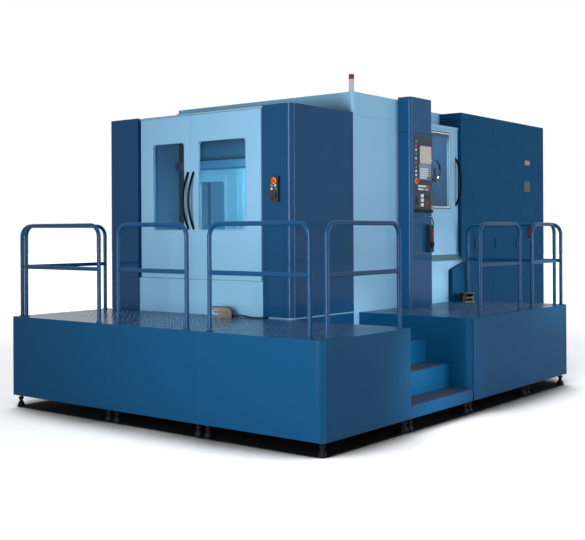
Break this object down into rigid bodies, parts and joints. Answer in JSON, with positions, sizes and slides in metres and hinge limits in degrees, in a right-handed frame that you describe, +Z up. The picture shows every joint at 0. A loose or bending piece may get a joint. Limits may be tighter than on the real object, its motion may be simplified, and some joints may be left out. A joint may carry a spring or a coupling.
{
  "type": "cnc horizontal machining center",
  "caption": "Enclosed horizontal machining center with pallet changer and electrical cabinet, on a raised work platform with steps and pipe handrails round the loading doors.",
  "frame": {"origin": "centre of the footprint, on the floor", "axes": "+X towards the operator side, +Y from the loading doors towards the rear along the longest side, +Z up"},
  "size_m": [3.85, 6.965, 3.35],
  "materials": {
    "platform_blue": "semi-gloss blue paint",
    "rail_blue": "semi-gloss blue paint",
    "panel_light": "smooth light blue paint",
    "panel_dark": "smooth dark blue paint",
    "cabinet_dark": "smooth dark blue paint",
    "inside_white": "off-white paint",
    "casting": "grey machine paint",
    "machined": "ground and milled steel",
    "galvanised": "zinc plated",
    "window": "laminated window",
    "handle_black": "satin black coating",
    "black_box": "matt black",
    "panel_grey": "light grey operating panel",
    "stop_red": "red mushroom button",
    "switch_yellow": "dark textured paint",
    "pedal_black": "black ribbed pedal",
    "cable_black": "black jacket",
    "tower_grey": "pale grey plastic",
    "lens_red": "red translucent lens"
  },
  "bodies": {
    "enclosure_and_platform": {"cabinet_body": "cabinet_dark", "chip_conveyor": "galvanised", "control_pillar": "panel_dark", "corner_cover": "panel_dark", "foot_cable": "cable_black", "foot_switch_front": "switch_yellow", "foot_switch_side": "switch_yellow", "left_pillar": "panel_dark", "left_wall": "panel_light", "levelling_feet": "galvanised", "lower_panel": "panel_light", "machine_bed": "casting", "main_cover": "panel_light", "operator_apron": "panel_light", "pendant": "black_box", "platform_corner": "platform_blue", "platform_left": "platform_blue", "platform_middle": "platform_blue", "platform_side": "platform_blue", "platform_steps": "platform_blue", "rails_end": "rail_blue", "rails_front": "rail_blue", "rails_side": "rail_blue", "rear_wall": "panel_light", "roof_panels": "panel_light", "station_box": "black_box", "tower_body": "tower_grey", "tower_lens": "lens_red"},
    "loading_door_left": {"door_left": "panel_light", "glass_left": "window", "handle_left": "handle_black"},
    "loading_door_right": {"door_right": "panel_light", "glass_right": "window", "handle_right": "handle_black"},
    "operator_door": {"operator_door": "panel_light", "operator_glass": "window", "operator_handle": "handle_black", "spin_frame": "handle_black"},
    "spin_disc": {"spin_window": "window"},
    "control_pod": {"control_pod": "panel_dark", "control_panel": "panel_grey"},
    "panel_stop": {"panel_stop": "stop_red"},
    "station_stop": {"station_stop": "stop_red"},
    "cabinet_door_near": {"cabinet_door_near": "cabinet_dark"},
    "cabinet_door_middle": {"cabinet_door_middle": "cabinet_dark"},
    "cabinet_door_far": {"cabinet_door_far": "cabinet_dark"},
    "breaker_handle": {"breaker_handle": "black_box"},
    "foot_pedal_front": {"foot_pedal_front": "pedal_black"},
    "foot_pedal_side": {"foot_pedal_side": "pedal_black"},
    "table_saddle": {"table_saddle": "casting"},
    "rotary_table": {"rotary_table": "machined"},
    "setup_turntable": {"setup_turntable": "machined"},
    "changer_quill": {"changer_quill": "machined"},
    "pallet_changer": {"changer_arm": "casting", "changer_partition": "inside_white", "pallets": "machined"},
    "column": {"column": "casting"},
    "spindle_head": {"spindle_head": "casting"},
    "spindle": {"spindle": "machined"},
    "tool_magazine": {"tool_magazine": "casting"}
  },
  "joints": [
    {"name": "loading_door_left_hinge", "type": "hinge", "parent": "enclosure_and_platform", "child": "loading_door_left", "pos_m": [-1.389, -2.19, 2], "axis": [0, 0, -1], "range_deg": [0, 100]},
    {"name": "loading_door_right_hinge", "type": "hinge", "parent": "enclosure_and_platform", "child": "loading_door_right", "pos_m": [0.227, -2.19, 2], "axis": [0, 0, 1], "range_deg": [0, 100]},
    {"name": "operator_door_slide", "type": "slide", "parent": "enclosure_and_platform", "child": "operator_door", "axis": [0, -1, 0], "range_m": [0, 0.85]},
    {"name": "spin_window_turn", "type": "hinge", "parent": "operator_door", "child": "spin_disc", "pos_m": [0.573, 0.5675, 2.441], "axis": [1, 0, 0], "continuous": true},
    {"name": "control_pod_swing", "type": "hinge", "parent": "enclosure_and_platform", "child": "control_pod", "pos_m": [0.76, 0.0775, 2.3], "axis": [0, 0, 1], "range_deg": [0, 90]},
    {"name": "panel_stop_push", "type": "slide", "parent": "control_pod", "child": "panel_stop", "axis": [-1, 0, 0], "range_m": [0, 0.006]},
    {"name": "station_stop_push", "type": "slide", "parent": "enclosure_and_platform", "child": "station_stop", "axis": [0, 1, 0], "range_m": [0, 0.006]},
    {"name": "cabinet_door_near_hinge", "type": "hinge", "parent": "enclosure_and_platform", "child": "cabinet_door_near", "pos_m": [0.61, 1.9345, 1.5], "axis": [0, 0, 1], "range_deg": [0, 110]},
    {"name": "cabinet_door_middle_hinge", "type": "hinge", "parent": "enclosure_and_platform", "child": "cabinet_door_middle", "pos_m": [0.61, 2.5325, 1.5], "axis": [0, 0, 1], "range_deg": [0, 110]},
    {"name": "cabinet_door_far_hinge", "type": "hinge", "parent": "enclosure_and_platform", "child": "cabinet_door_far", "pos_m": [0.61, 3.3135, 1.5], "axis": [0, 0, 1], "range_deg": [0, 110]},
    {"name": "breaker_turn", "type": "hinge", "parent": "cabinet_door_far", "child": "breaker_handle", "pos_m": [0.62, 2.9945, 1.712], "axis": [1, 0, 0], "range_deg": [0, 90]},
    {"name": "foot_pedal_front_press", "type": "hinge", "parent": "enclosure_and_platform", "child": "foot_pedal_front", "pos_m": [-0.08223, -2.33956, 0.93], "axis": [-0.5736, 0.8192, 0], "range_deg": [-8, 0], "stiffness_Nm_per_rad": 8, "springref_deg": 11.46},
    {"name": "foot_pedal_side_press", "type": "hinge", "parent": "enclosure_and_platform", "child": "foot_pedal_side", "pos_m": [0.76936, 0.92821, 0.93], "axis": [-0.6428, -0.766, 0], "range_deg": [-8, 0], "stiffness_Nm_per_rad": 8, "springref_deg": 11.46},
    {"name": "table_feed", "type": "slide", "parent": "enclosure_and_platform", "child": "table_saddle", "axis": [0, 1, 0], "range_m": [0, 1]},
    {"name": "rotary_table_turn", "type": "hinge", "parent": "table_saddle", "child": "rotary_table", "pos_m": [-0.62, -0.6025, 1.13], "axis": [0, 0, 1], "continuous": true},
    {"name": "setup_turntable_turn", "type": "hinge", "parent": "enclosure_and_platform", "child": "setup_turntable", "pos_m": [-0.62, -1.7825, 1.13], "axis": [0, 0, 1], "continuous": true},
    {"name": "changer_lift", "type": "slide", "parent": "enclosure_and_platform", "child": "changer_quill", "axis": [0, 0, 1], "range_m": [-0.044, 0]},
    {"name": "changer_turn", "type": "hinge", "parent": "changer_quill", "child": "pallet_changer", "pos_m": [-0.62, -1.1925, 1.13], "axis": [0, 0, 1], "range_deg": [0, 180]},
    {"name": "column_feed", "type": "slide", "parent": "enclosure_and_platform", "child": "column", "axis": [1, 0, 0], "range_m": [-0.34, 0.34]},
    {"name": "head_feed", "type": "slide", "parent": "column", "child": "spindle_head", "axis": [0, 0, 1], "range_m": [-0.55, 0.5]},
    {"name": "spindle_turn", "type": "hinge", "parent": "spindle_head", "child": "spindle", "pos_m": [-0.62, 0.9675, 1.9], "axis": [0, 1, 0], "continuous": true},
    {"name": "magazine_turn", "type": "hinge", "parent": "enclosure_and_platform", "child": "tool_magazine", "pos_m": [-1.725, 1.8675, 2], "axis": [1, 0, 0], "continuous": true}
  ]
}
